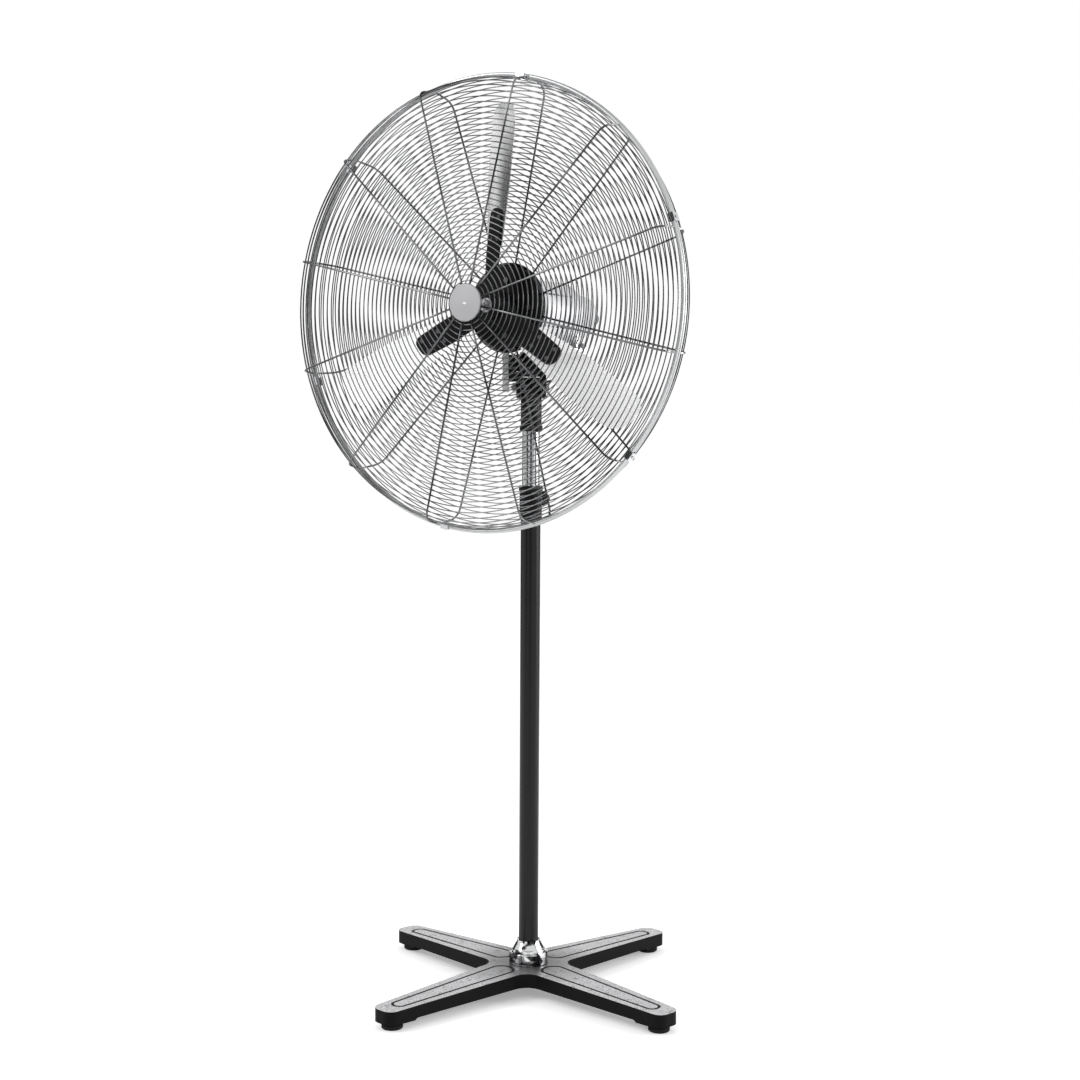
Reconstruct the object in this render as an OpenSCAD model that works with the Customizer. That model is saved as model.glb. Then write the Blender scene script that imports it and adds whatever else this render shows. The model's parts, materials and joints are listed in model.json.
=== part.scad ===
// Industrial pedestal fan: a wire-guarded head on a telescopic pole with a cast cross base.
// Millimetres, +Z up. The origin is on the floor at the centre of the pole.
// At rest the head looks along -Y, and the stand and neck are turned under it by stand_turn.

/* [Heights] */
// Height of the fan's axis above the top of the outer pole, at the height shown
fan_above_pole = 338; // [300:1:380]
// Height of the fan's axis above the tilt bolt
neck_to_axis = 146; // [140:1:160]
// Height of the top of the outer pole above the floor
pole_top_h = 976; // [900:1:990]
// Angle by which the stand and neck are turned to the left of the head's front
stand_turn = 32; // [0:1:44]
// Upward slope of the fan's axis on its saddle
fan_pitch = 2; // [0:0.5:3]

/* [Base] */
// Distance from the pole to the centre of each foot
foot_reach = 345; // [300:5:400]
// Height of the top of the base at its hub
base_top_h = 50; // [46:1:60]
// Height of the top of the base at the ends of its arms
base_tip_h = 39; // [36:1:42]
// Width that the arms' sides would have at the pole
arm_root_w = 100; // [90:1:110]
// Width of each arm at its end
arm_tip_w = 56; // [50:1:64]
// Wall thickness of the base casting
base_wall = 6; // [5:0.5:8]
// Radius of each foot pad
foot_r = 20; // [17:0.5:22]
// Height of each foot pad
foot_h = 14; // [12:1:18]

/* [Pole] */
// Outer radius of the lower pole
pole_r = 19; // [18.7:0.1:20]
// Wall thickness of the poles
pole_wall = 1.5; // [1.2:0.1:1.5]
// Outer radius of the sliding pole
mast_r = 17; // [16:0.1:17]
// Length of the sliding pole
mast_l = 530; // [480:10:580]
// Height of the clamp collar on the lower pole
clamp_collar_h = 66; // [56:1:80]
// Direction of the height clamp knob, from the neck's right towards its back
clamp_dir = 60; // [0:5:90]

/* [Neck] */
// Radius of the neck's column
neck_r = 20; // [19.5:0.1:21]
// Radius of the tilt bolt
tilt_bolt_r = 5; // [4:0.5:6]
// Thickness of each ear of the tilt bracket
ear_t = 8; // [6:0.5:10]
// Radius of the pivot pin that the head swings on
pivot_r = 8; // [7:0.5:9]
// Height of the pivot above the tilt bolt
pivot_rise = 70; // [66:1:74]

/* [Motor] */
// Outer radius of the motor
motor_r = 60; // [56:1:62]
// Length of the motor body in front of the pole
motor_front = 66; // [60:1:70]
// Length of the motor body behind the pole
motor_back = 80; // [76:1:84]
// Wall thickness of the motor body and gear case
motor_wall = 5; // [4:0.5:6]
// Radius of the motor shaft
shaft_r = 7.5; // [6:0.5:8]
// Radius of the black clamp plate in front of the motor
clamp_plate_r = 77; // [72:1:80]

/* [Guard] */
// Radius of the centre line of the two rim wires
rim_r = 415; // [405:1:425]
// Distance from the pole's centre to the plane between the two rims
rim_out = 160.5; // [155:0.5:165]
// Depth of the front guard's corner in front of the rim plane
front_depth = 47.5; // [40:0.5:55]
// Depth of the front guard's centre in front of the rim plane
front_crown = 57; // [50:0.5:65]
// Depth of the rear guard's corner behind the rim plane
rear_depth = 56; // [50:0.5:60]
// Number of radial wires in each guard
spoke_count = 12; // [6:6:24]
// Angle of the first radial wire above the horizontal
spoke_phase = 17.6; // [0:0.1:30]
// Radius of the rim wires
rim_wire_r = 3.5; // [3:0.1:4]
// Radius of the radial wires
spoke_wire_r = 1.8; // [1.5:0.1:2.2]
// Radius of the ring wires
ring_wire_r = 1.2; // [1:0.1:1.5]
// Spacing of the ring wires
ring_pitch = 10; // [9:0.5:14]
// Radius of the badge at the centre of the front guard
badge_r = 34.5; // [30:0.5:40]

/* [Blades] */
// Radius of the tip of the blades
blade_tip_r = 372; // [350:1:376]
// Radius at which the blades begin
blade_root_r = 108; // [100:1:120]
// Widest chord of a blade
blade_chord = 80; // [60:1:110]
// Pitch of the blades
blade_pitch = 26; // [18:1:28]
// Radius of the blades' curved section
blade_camber_r = 260; // [220:5:400]
// Sheet thickness of the blades
blade_t = 1.6; // [1.2:0.1:2.5]
// Radius of the ends of the arms that carry the blades
arm_tip_r = 178; // [160:1:190]
// Width of those arms at their ends
arm_end_w = 40; // [34:1:44]
// Sheet thickness of those arms
spider_t = 3; // [2:0.5:4]
// Angle of the first blade above the horizontal
blade_phase = 86; // [0:1:119]

/* [Swing drive] */
// Throw of the crank that swings the head
crank_throw = 18; // [16:0.5:20]
// Distance of the fixed anchor pin from the pivot
anchor_r = 26; // [25:0.5:28]
// Length of the drive link between its eyes
link_l = 105.85; // [105:0.05:107]
// Distance of the crank shaft behind the pivot
crank_back = 105; // [104:0.5:106]
// Distance of the crank shaft to the right of the pivot
crank_side = 29; // [28:0.5:30]

/* [Hidden] */
$fn = 48;

// Clearances
run = 0.05;        // a shaft turning or sliding in its bore
fit = 0.02;        // pieces of one body that are pressed or screwed together
air = 0.3;         // between pieces of different bodies that pass each other
tiny = 0.01;

// Heights that follow from the driving sizes
fan_axis_h = pole_top_h + fan_above_pole;
tilt_h = fan_axis_h - neck_to_axis;
pivot_h = tilt_h + pivot_rise;
neck_bottom_h = tilt_h - 82;
mast_top_h = neck_bottom_h + 42;
mast_bottom_h = mast_top_h - mast_l;
collar_bottom_h = pole_top_h + 6 - clamp_collar_h;
collar_top_h = pole_top_h + 6;

// Places along the fan's axis, measured forward from the pole's centre
motor_face = motor_front + 16;
guard_plate_t = 2;
clamp_plate_t = 4.5;
clamp_face = motor_face + guard_plate_t + clamp_plate_t;
front_rim_z = rim_out + rim_wire_r + 0.2;
rear_rim_z = rim_out - rim_wire_r - 0.2;
blade_z = rim_out - 22.5;
gear_end = motor_back + 110;

// Swing drive: how far the head stands from the neck's front, and the angles that follow
swing_rest = -stand_turn;
crank_ratio = -1.43;
link_ratio = 1.455;
crank_angle = crank_ratio * swing_rest - 5;
link_angle = crank_angle + link_ratio * swing_rest - 95.6;
link_low = pivot_h + 2;
link_t = 5;
crank_low = link_low + link_t + 3;
crank_t = 7;

lead_r = 2.5;        // thickness of the motor lead, as a radius

black = [0.06, 0.06, 0.065];
silver = [0.72, 0.73, 0.75];
chrome = [0.85, 0.86, 0.88];
pale_grey = [0.62, 0.62, 0.63];
steel = [0.5, 0.5, 0.52];

// ---------------------------------------------------------------- frames

// The stand and neck, turned under the head; the neck's front is -Y here
module stand_frame() rotate([0, 0, stand_turn]) children();

// The fan's own frame: +Z forward along its axis, +Y up, origin above the pole
module fan_frame()
    translate([0, 0, fan_axis_h]) rotate([90 - fan_pitch, 0, 0]) children();

// ---------------------------------------------------------------- shared shapes

module tube(r, wall, h) difference() {
    cylinder(r = r, h = h);
    translate([0, 0, -1]) cylinder(r = r - wall, h = h + 2);
}

module hexagon(flats, h) cylinder(r = flats / sqrt(3), h = h, $fn = 6);

// Direction of a route at one of its points
function heading(p, i) =
    let (d = p[min(i + 1, len(p) - 1)] - p[max(i - 1, 0)]) d / norm(d);

// A tube swept along points; the route never runs along the direction across
module swept_tube(p, r, sides, across) {
    rings = [for (i = [0:len(p) - 1])
        let (d = heading(p, i), v = cross(d, across) / norm(cross(d, across)), w = cross(v, d))
        [for (k = [0:sides - 1]) let (a = 360 * k / sides) p[i] + r * (cos(a) * w + sin(a) * v)]];
    walls = [for (i = [0:len(p) - 2]) for (k = [0:sides - 1])
        let (a = i * sides + k, b = i * sides + (k + 1) % sides) [a, b, b + sides, a + sides]];
    last = (len(p) - 1) * sides;
    ends = [[for (k = [sides - 1:-1:0]) k], [for (k = [0:sides - 1]) last + k]];
    polyhedron(points = [for (ring = rings) each ring], faces = concat(walls, ends), convexity = 8);
}

// The bend of a wire that runs from one point to another round a corner
function bend_turn(from, corner, to) =
    atan2(to[1] - corner[1], to[0] - corner[0]) - atan2(corner[1] - from[1], corner[0] - from[0]);
function bend_start(from, corner, to, r) =
    let (d = (corner - from) / norm(corner - from))
    corner - d * r * tan(abs(bend_turn(from, corner, to)) / 2);
function bend_centre(from, corner, to, r) =
    let (d = (corner - from) / norm(corner - from), side = sign(bend_turn(from, corner, to)))
    bend_start(from, corner, to, r) + side * r * [-d[1], d[0]];
// Point a share t of the way round the bend, at radius r_at from its centre
function bend_point(from, corner, to, r, r_at, t) =
    let (turn = bend_turn(from, corner, to),
         a = atan2(corner[1] - from[1], corner[0] - from[0]) - sign(turn) * 90 + turn * t)
    bend_centre(from, corner, to, r) + r_at * [cos(a), sin(a)];
function bend_path(from, corner, to, r, steps) = concat(
    [from], [for (i = [0:steps]) bend_point(from, corner, to, r, r, i / steps)], [to]);

// Points of a bar along +X whose far corners are rounded
function arc(cx, cy, r, a0, a1, n) =
    [for (i = [0:n]) let (a = a0 + (a1 - a0) * i / n) [cx + r * cos(a), cy + r * sin(a)]];
function bar_points(x0, w0, x1, w1, corner) = concat(
    [[x0, -w0 / 2]],
    arc(x1 - corner, -w1 / 2 + corner, corner, -90, 0, 8),
    arc(x1 - corner, w1 / 2 - corner, corner, 0, 90, 8),
    [[x0, w0 / 2]]);

// ---------------------------------------------------------------- base

arm_end = foot_reach + arm_tip_w / 2;
arm_corner = 20;
arm_taper = atan((arm_root_w - arm_tip_w) / 2 / (arm_end - arm_corner));
hub_fillet_r = 32;
hub_r = 34;
under_h = base_top_h - 28;
bolt_r = 6;

module arms() for (a = [45:90:315]) rotate([0, 0, a]) children();

// Outline of the cross, with a round web between neighbouring arms
module cross_plan() {
    arms() polygon(bar_points(0, arm_root_w, arm_end, arm_tip_w, arm_corner));
    half = 45 + arm_taper;
    inner = arm_root_w / 2 * sin(45) * (1 + 1 / tan(half));
    centre = inner + hub_fillet_r / sin(half);
    touch = hub_fillet_r / tan(half);
    for (a = [0:90:270]) rotate([0, 0, a]) difference() {
        polygon([[0, 0], [inner + touch * cos(half), -touch * sin(half)],
                 [inner + touch * cos(half), touch * sin(half)]]);
        // a little larger than the fillet, so that it crosses the arms' sides
        translate([centre, 0]) circle(r = hub_fillet_r + 0.3);
    }
}

// Height of the sloping top of the base at a radius
function base_h(r) = base_top_h - (base_top_h - base_tip_h) * max(0, r - 48) / (arm_end - 48);

// Side view of the base: sloping top, arched underside and a deeper pad at each foot
module base_profile(drop = 0, in = 0) polygon([
    [0, under_h + in], [90, under_h + in], [foot_reach - 34, foot_h + 4 + in],
    [foot_reach - 28, foot_h + in], [arm_end + 1, foot_h + in],
    [arm_end + 1, base_h(arm_end + 1) - drop], [48, base_h(48) - drop], [0, base_h(0) - drop]]);

// The raised panel's outline that is grooved into the top of each arm
module panel_plan(grow) polygon(concat(
    arc(76, 0, 26 + grow, 112, 248, 8),
    arc(arm_end - 48, 0, 15 + grow, -68, 68, 8)));

module base_casting() color(black) stand_frame() difference() {
    intersection() {
        linear_extrude(height = base_top_h + 1) cross_plan();
        rotate_extrude($fn = 96) base_profile();
    }
    // hollow underside, leaving the hub and the foot pads solid
    arms() translate([0, 0, -1]) linear_extrude(height = base_tip_h - base_wall + 1)
        polygon(bar_points(hub_r + 12, arm_root_w - 2 * base_wall - 12,
                           foot_reach - 36, arm_tip_w - 2 * base_wall, 8));
    // grooves round the panels
    arms() intersection() {
        linear_extrude(height = base_top_h + 1) difference() {
            panel_plan(1.5);
            panel_plan(-1.5);
        }
        rotate_extrude($fn = 96) difference() {
            base_profile(drop = -2);
            base_profile(drop = 1.5);
        }
    }
    arms() translate([foot_reach, 0, foot_h - 1]) cylinder(r = 5 + fit, h = 17);
    translate([0, 0, -1]) cylinder(r = bolt_r + run, h = base_top_h + 3);
}

module foot_pads() color(black) stand_frame() arms() translate([foot_reach, 0, 0])
    rotate_extrude() polygon([
        [0, 0], [foot_r - 2, 0], [foot_r, 2], [foot_r, foot_h - 6], [foot_r - 1.5, foot_h - 4.5],
        [foot_r - 3.5, foot_h - 4], [foot_r - 3.5, foot_h], [5, foot_h], [5, foot_h + 14],
        [0, foot_h + 14]]);

module pole_bolt() color(steel) {
    translate([0, 0, under_h - 8]) hexagon(19, 8);
    translate([0, 0, under_h - 1]) cylinder(r = bolt_r, h = base_top_h + 20 - under_h);
}

module pole_plug() color(steel) translate([0, 0, base_top_h]) difference() {
    cylinder(r = pole_r - pole_wall - fit, h = 30);
    translate([0, 0, -1]) cylinder(r = bolt_r + fit, h = 24);
}

collar_r = 2 * pole_r;
module base_collar() color(chrome) translate([0, 0, base_top_h]) difference() {
    rotate_extrude($fn = 96) polygon(concat(
        [[0, 0], [collar_r - 1.5, 0], [collar_r, 1.5], [collar_r, 21]],
        arc(collar_r - 2.5, 21, 2.5, 0, 90, 5),
        [[collar_r - 5, 23.5], [collar_r - 5, 25.5]],
        arc(collar_r - 10, 25.5, 5, 0, 60, 5),
        [[pole_r + 5, 42], [pole_r + 3.5, 46], [0, 46]]));
    translate([0, 0, -1]) cylinder(r = pole_r + run, h = 48);
}

module outer_pole() color(black) difference() {
    translate([0, 0, base_top_h]) tube(pole_r, pole_wall, pole_top_h - base_top_h);
    stand_frame() clamp_axis() cylinder(r = clamp_screw_r + run, h = 40);
}

// ---------------------------------------------------------------- height clamp

clamp_screw_r = 4;
clamp_boss_r = 11;
clamp_boss_out = pole_r + 9;
clamp_knob_out = clamp_boss_out + 1;
clamp_wall = 2.5;

// Along the clamp screw, outward from the centre of the pole
module clamp_axis()
    translate([0, 0, pole_top_h - 20]) rotate([0, 0, clamp_dir]) rotate([0, 90, 0]) children();

module clamp_collar() color(black) stand_frame() difference() {
    union() {
        translate([0, 0, collar_bottom_h]) rotate_extrude($fn = 64) polygon([
            [0, 0], [pole_r + clamp_wall - 1, 0], [pole_r + clamp_wall, 1],
            [pole_r + clamp_wall, clamp_collar_h - 11], [pole_r + 4, clamp_collar_h - 9],
            [pole_r + 4, clamp_collar_h - 2], [pole_r + 2.5, clamp_collar_h], [0, clamp_collar_h]]);
        clamp_axis() cylinder(r = clamp_boss_r, h = clamp_boss_out);
    }
    translate([0, 0, collar_bottom_h - 1]) cylinder(r = pole_r + fit, h = clamp_collar_h - 1);
    translate([0, 0, collar_bottom_h]) cylinder(r = mast_r + 0.8, h = clamp_collar_h + 1);
    clamp_axis() cylinder(r = clamp_screw_r + run, h = clamp_boss_out + 1);
}

module pole_bush() color(pale_grey) translate([0, 0, pole_top_h]) difference() {
    cylinder(r = pole_r, h = 4);
    translate([0, 0, -1]) cylinder(r = mast_r + run, h = 6);
}

module clamp_knob() color(black) stand_frame() clamp_axis() difference() {
    union() {
        translate([0, 0, clamp_knob_out]) cylinder(r = 8, h = 6);
        translate([0, 0, clamp_knob_out + 5]) cylinder(r = 15, h = 13);
    }
    for (a = [0:60:300]) rotate([0, 0, a])
        translate([19, 0, clamp_knob_out + 4]) cylinder(r = 6.5, h = 15);
    translate([0, 0, clamp_knob_out - 1]) cylinder(r = clamp_screw_r + fit, h = 15);
}

module clamp_screw() color(steel) stand_frame() clamp_axis()
    translate([0, 0, mast_r + air]) cylinder(r = clamp_screw_r, h = clamp_knob_out + 12 - mast_r);

// ---------------------------------------------------------------- sliding pole and neck

module sliding_pole() color(chrome)
    translate([0, 0, mast_bottom_h]) tube(mast_r, pole_wall, mast_l);

tongue_r = neck_r + 0.5;
neck_screw_h = neck_bottom_h + 24;

module neck() color(black) stand_frame() difference() {
    intersection() {
        translate([0, 0, neck_bottom_h]) union() {
            rotate_extrude($fn = 64) polygon([
                [0, 0], [neck_r + 1, 0], [neck_r + 2, 1], [neck_r + 2, 10],
                [neck_r, 12], [neck_r, 110], [0, 110]]);
        }
        // rounded top of the tongue, about the tilt bolt
        union() {
            translate([-40, -40, neck_bottom_h - 1]) cube([80, 80, tilt_h - neck_bottom_h + 1]);
            translate([-40, 0, tilt_h]) rotate([0, 90, 0]) cylinder(r = tongue_r, h = 80);
        }
    }
    translate([0, 0, neck_bottom_h - 1]) cylinder(r = mast_r + fit, h = mast_top_h - neck_bottom_h + 1);
    translate([-40, 0, tilt_h]) rotate([0, 90, 0]) cylinder(r = tilt_bolt_r + run, h = 80);
    neck_screw_axis() cylinder(r = 3 + fit, h = 30);
}

module neck_screw_axis() for (a = [55, 125])
    translate([0, 0, neck_screw_h]) rotate([0, 0, a]) rotate([0, 90, 0]) children();

module neck_screws() color(steel) stand_frame() neck_screw_axis() {
    translate([0, 0, mast_r + fit]) cylinder(r = 3, h = neck_r + 1 - mast_r);
    translate([0, 0, neck_r + fit]) cylinder(r = 5, h = 3.5);
}

// ---------------------------------------------------------------- tilt bracket

ear_in = neck_r + air;
ear_out = ear_in + ear_t;
ear_r = 20;
housing_r = 22;
web_h = tilt_h + tongue_r + 1;
bush_r = pivot_r + 2;
pad_out = ear_out + 0.7;
gland_x = (ear_in + ear_out) / 2;
gland_h = tilt_h + 8;

module tilt_axis() translate([0, 0, tilt_h]) rotate([0, 90, 0]) children();

module tilt_bracket() color(black) stand_frame() difference() {
    union() {
        // two ears beside the neck
        for (s = [-1, 1]) translate([s > 0 ? ear_in : -ear_out, 0, tilt_h]) {
            rotate([0, 90, 0]) cylinder(r = ear_r, h = ear_t);
            translate([0, -ear_r + 1, 0]) cube([ear_t, 2 * ear_r - 2, web_h - tilt_h + 6]);
        }
        // web over the tongue, narrowing to the round pivot housing
        translate([0, 0, web_h]) rotate([90, 0, 0])
            linear_extrude(height = 2 * ear_r - 2, center = true) polygon([
                [-ear_out, 0], [ear_out, 0], [ear_out, 6], [housing_r - 6, 20],
                [-housing_r + 6, 20], [-ear_out, 6]]);
        translate([0, 0, web_h]) cylinder(r = housing_r, h = pivot_h - 2 - web_h);
        // lug for the anchor pin of the swing drive
        translate([0, -8, pivot_h - 12]) cube([anchor_r, 16, 10]);
        translate([anchor_r, 0, pivot_h - 12]) cylinder(r = 8, h = 10);
        // pad that the switch box is screwed to
        translate([-pad_out, -13, pivot_h - 38]) cube([pad_out, 26, 32]);
    }
    translate([0, 0, pivot_h - 42]) cylinder(r = bush_r + fit, h = 50);
    translate([-50, 0, 0]) tilt_axis() cylinder(r = tilt_bolt_r + fit, h = 100);
    translate([anchor_r, 0, pivot_h - 13]) cylinder(r = 3 + fit, h = 20);
    translate([gland_x, 0, gland_h]) rotate([-90, 0, 0]) cylinder(r = 3.2, h = 40);
}

module tilt_bolt() color(steel) stand_frame() {
    translate([ear_out, 0, 0]) tilt_axis() hexagon(16, 6);
    translate([-ear_out - 10, 0, 0]) tilt_axis() cylinder(r = tilt_bolt_r, h = 2 * ear_out + 11);
}

module tilt_nut() color(steel) stand_frame() difference() {
    translate([-ear_out - 9, 0, 0]) tilt_axis() union() {
        translate([0, 0, 1.5]) hexagon(17, 7.5);
        translate([0, 0, 7.5]) cylinder(r = 10.5, h = 1.5);
    }
    translate([-ear_out - 12, 0, 0]) tilt_axis() cylinder(r = tilt_bolt_r + fit, h = 20);
}

module pivot_bush() color([0.7, 0.52, 0.25]) stand_frame() difference() {
    union() {
        translate([0, 0, pivot_h - 40]) cylinder(r = bush_r, h = 40);
        translate([0, 0, pivot_h - 2]) cylinder(r = bush_r + 3, h = 2);
    }
    translate([0, 0, pivot_h - 41]) cylinder(r = pivot_r + run, h = 43);
}

module anchor_pin() color(steel) stand_frame() translate([anchor_r, 0, 0]) {
    translate([0, 0, pivot_h - 15]) cylinder(r = 3.9, h = 3);
    translate([0, 0, pivot_h - 13]) cylinder(r = 3, h = link_low + link_t + 2 - pivot_h + 13);
}

module lead_gland() color(black) stand_frame()
    translate([gland_x, ear_r - 6, gland_h]) rotate([-90, 0, 0]) difference() {
        union() {
            cylinder(r = 3.1, h = 12);
            translate([0, 0, 6 - fit]) cylinder(r = 4.2, h = 4);
            translate([0, 0, 9]) cylinder(r1 = 4, r2 = 3.4, h = 10);
        }
        translate([0, 0, 11]) cylinder(r = lead_r + fit, h = 12);
    }

// ---------------------------------------------------------------- switch box

box_t = 14;
box_w = 54;
box_low = tilt_h + 12;
box_high = tilt_h + 63;
cover_t = 11;
cover_w = 62;
cover_pocket_w = 32;
cover_low = tilt_h - 8;
// the head swings over the cover with this much room under the motor
head_clear = 2;
cover_high = fan_axis_h - motor_r - head_clear;
knob_spot_h = (box_low + box_high) / 2;
knob_spot_x = -pad_out - box_t / 2;

// Rounded plate in the YZ plane, from x to x + t
module side_plate(x, t, w, low, high, corner)
    translate([x, 0, 0]) rotate([90, 0, 90]) linear_extrude(height = t) {
        translate([-w / 2 + corner, low]) square([w - 2 * corner, high - low]);
        translate([-w / 2, low + corner]) square([w, high - low - 2 * corner]);
        for (y = [-w / 2 + corner, w / 2 - corner]) for (z = [low + corner, high - corner])
            translate([y, z]) circle(r = corner);
    }

module switch_box() color(black) stand_frame() difference() {
    union() {
        difference() {
            side_plate(-pad_out - box_t, box_t, box_w, box_low, box_high, 5);
            side_plate(-pad_out - box_t - 1, box_t - 1, box_w - 5, box_low + 2.5, box_high - 2.5, 3);
        }
        // posts for the cover's screws
        cover_screw_axis() translate([0, 0, cover_t]) cylinder(r = 4.5, h = box_t - 1);
    }
    cover_screw_axis() cylinder(r = 2 + fit, h = cover_t + 10);
    translate([knob_spot_x, 0, knob_spot_h]) rotate([90, 0, 0]) cylinder(r = 3 + run, h = 60);
}

module switch_cover() color(pale_grey) stand_frame() difference() {
    side_plate(-pad_out - box_t - cover_t, cover_t, cover_w, cover_low, cover_high, 9);
    side_plate(-pad_out - box_t - cover_t + 2.5, cover_t, cover_pocket_w, box_low + 4, box_high - 4, 4);
    cover_screw_axis() translate([0, 0, -1]) cylinder(r = 2 + fit, h = cover_t + 2);
}

module cover_screw_axis()
    for (y = [-box_w / 2 + 5.5, box_w / 2 - 5.5]) for (z = [box_low + 5.5, box_high - 5.5])
        translate([-pad_out - box_t - cover_t, y, z]) rotate([0, 90, 0]) children();

module cover_screws() color(steel) stand_frame() cover_screw_axis() {
    translate([0, 0, -1.5]) cylinder(r = 3.6, h = 1.5);
    translate([0, 0, -0.5]) cylinder(r = 2, h = cover_t + 9);
}

speed_knob_r = 6.5;
module speed_knob() color(black) stand_frame()
    translate([knob_spot_x, -box_w / 2, knob_spot_h]) rotate([90, 0, 0]) {
        translate([0, 0, -8]) cylinder(r = 3, h = 9);
        difference() {
            translate([0, 0, air]) cylinder(r = speed_knob_r, h = 12);
            for (a = [0:30:330]) rotate([0, 0, a])
                translate([speed_knob_r + 0.6, 0, air + 2]) cylinder(r = 1.1, h = 11);
        }
        translate([-1, -speed_knob_r + 1, 12]) cube([2, 2 * speed_knob_r - 2, 2.5]);
    }

// ---------------------------------------------------------------- motor lead

// Points that the lead runs through, head looking along -Y
function neck_point(x, y, z) =
    [x * cos(stand_turn) - y * sin(stand_turn), x * sin(stand_turn) + y * cos(stand_turn), z];
// Heights of these points are measured from the fan's axis
lead_points = [
    [-4.4, 54, -137], [-8, 62, -135], [-10, 75, -133], [-8, 92, -132], [-5, 112, -133],
    [-3, 132, -136], [-1, 152, -140], [0, 170, -143], [0, 186, -146], [0, 198, -148],
    [0, 206, -147], [0, 210, -141], [0, 209, -133], [0, 205, -123], [0, 199, -112],
    [0, 192, -100], [0, 184, -89], [0, 176, -79], [0, 168, -71], [0, 161, -65],
    [0, 157.2, -59.5], [0, 157, -54.7]];
lead_route = concat([for (y = [27, 33, 40]) neck_point(gland_x, y, gland_h)],
                    [for (p = lead_points) [p[0], p[1], fan_axis_h + p[2]]]);

module motor_lead() color(black) swept_tube(lead_route, lead_r, 10, [1, 0, 0]);

// ---------------------------------------------------------------- motor

case_rear_r = 42;

case_screw_r = motor_r - 9;
case_lug_l = 16;
// The gear case's web behind the motor, and the length of the room for the gears
case_neck = 16;
gear_room = 50;

module motor_body() color(silver) difference() {
    fan_frame() difference() {
        union() {
            translate([0, 0, -motor_back]) difference() {
                cylinder(r = motor_r, h = motor_back + motor_front, $fn = 96);
                translate([0, 0, -1])
                    cylinder(r = motor_r - motor_wall, h = motor_back + motor_front + 2, $fn = 96);
            }
            // raised band on each side that covers the frame's tie rods
            for (s = [-1, 1]) translate([s * (motor_r - 1) - 3, -5, -motor_back + 8])
                cube([6, 10, motor_back + motor_front - 16]);
            // lugs for the gear case's screws
            for (a = [45:90:315]) rotate([0, 0, a])
                translate([case_screw_r, 0, -motor_back + 0.5]) cylinder(r = 6, h = case_lug_l);
        }
        // cooling slots
        for (a = [30, 150, 210, 330]) rotate([0, 0, a])
            for (k = [0:6]) translate([motor_r - 10, -2, -motor_back + 20 + 15 * k])
                cube([20, 4, 9]);
        for (a = [45:90:315]) rotate([0, 0, a])
            translate([case_screw_r, 0, -motor_back - 1]) cylinder(r = 2.5 + fit, h = case_lug_l - 2);
    }
    saddle_bolt_axis() cylinder(r = 3 + fit, h = 20);
}

bearing_r = 17.5;
bearing_t = 11;

module front_cover() color(silver) fan_frame() difference() {
    rotate_extrude($fn = 96) translate([0, motor_front]) polygon([
        [0, -4], [motor_r - motor_wall - fit, -4], [motor_r - motor_wall - fit, 0], [motor_r + 2, 0],
        [motor_r + 2, 6], [motor_r - 2, 11], [motor_r - 2, 16], [0, 16]]);
    translate([0, 0, motor_front - 5]) cylinder(r = bearing_r + fit, h = bearing_t + 5);
    translate([0, 0, motor_front]) cylinder(r = shaft_r + 1, h = 20);
    plate_screw_axis() cylinder(r = 3 + fit, h = 30);
}

module gear_case() color(silver) {
    difference() {
        union() {
            fan_frame() rotate_extrude($fn = 96) polygon(concat(
                [[0, -motor_back - tiny], [motor_r, -motor_back - tiny], [motor_r + 1, -motor_back - 2],
                 [motor_r + 1, -motor_back - 9], [motor_r, -motor_back - 10],
                 [motor_r - 6, -motor_back - 15], [motor_r - 10, -motor_back - 24],
                 [motor_r - 11, -motor_back - 41], [case_rear_r + 2, -motor_back - 54],
                 [case_rear_r, -gear_end + 30]],
                arc(case_rear_r - 20, -gear_end + 22, 20, 0, -75, 6),
                [[18, -gear_end], [0, -gear_end]]));
            // boss that the crank shaft comes out of
            translate([crank_side, crank_back, crank_low + crank_t + 1])
                cylinder(r = 11, h = fan_axis_h - 20 - crank_low);
        }
        // hollow for the gears, closed by the rear wall
        fan_frame() translate([0, 0, -motor_back - case_neck - gear_room])
            cylinder(r = case_rear_r - motor_wall, h = gear_room);
        fan_frame() translate([0, 0, -motor_back - 17]) cylinder(r = shaft_r + 1, h = 20);
        fan_frame() translate([0, 0, -motor_back - bearing_t - tiny])
            cylinder(r = bearing_r + fit, h = bearing_t + 1);
        translate([crank_side, crank_back, gear_h - 5]) cylinder(r = gear_r + 1, h = 10);
        translate([crank_side, crank_back, crank_low])
            cylinder(r = crank_shaft_r + run, h = gear_h + 7 - crank_low);
        fan_frame() translate([0, 0, -gear_end - 1]) cylinder(r = knob_stem_r + run, h = 50);
        case_screw_axis() cylinder(r = 2.5 + fit, h = 24);
        // pockets that leave the screw heads open to the outside
        case_screw_axis() translate([0, 0, -11]) union() {
            cylinder(r = 5.4, h = 11);
            translate([0, -5.4, 0]) cube([motor_r, 10.8, 11]);
        }
        lead_boot_axis() cylinder(r = 4 + fit, h = 12);
    }
}

module case_screw_axis() fan_frame() for (a = [45:90:315]) rotate([0, 0, a])
    translate([case_screw_r, 0, -motor_back - 10]) children();

module case_screws() color(steel) case_screw_axis() {
    translate([0, 0, -3.5]) hexagon(8, 3.5);
    translate([0, 0, -0.5]) cylinder(r = 2.5, h = case_lug_l + 6.5);
}

// Where the lead leaves the underside of the gear case
module lead_boot_axis() translate([0, 157, fan_axis_h - 47.8]) children();

module lead_boot() color(black) lead_boot_axis() {
    cylinder(r = 4, h = 8);
    translate([0, 0, -6]) cylinder(r1 = 3.6, r2 = 5, h = 6 + tiny);
}

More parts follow.
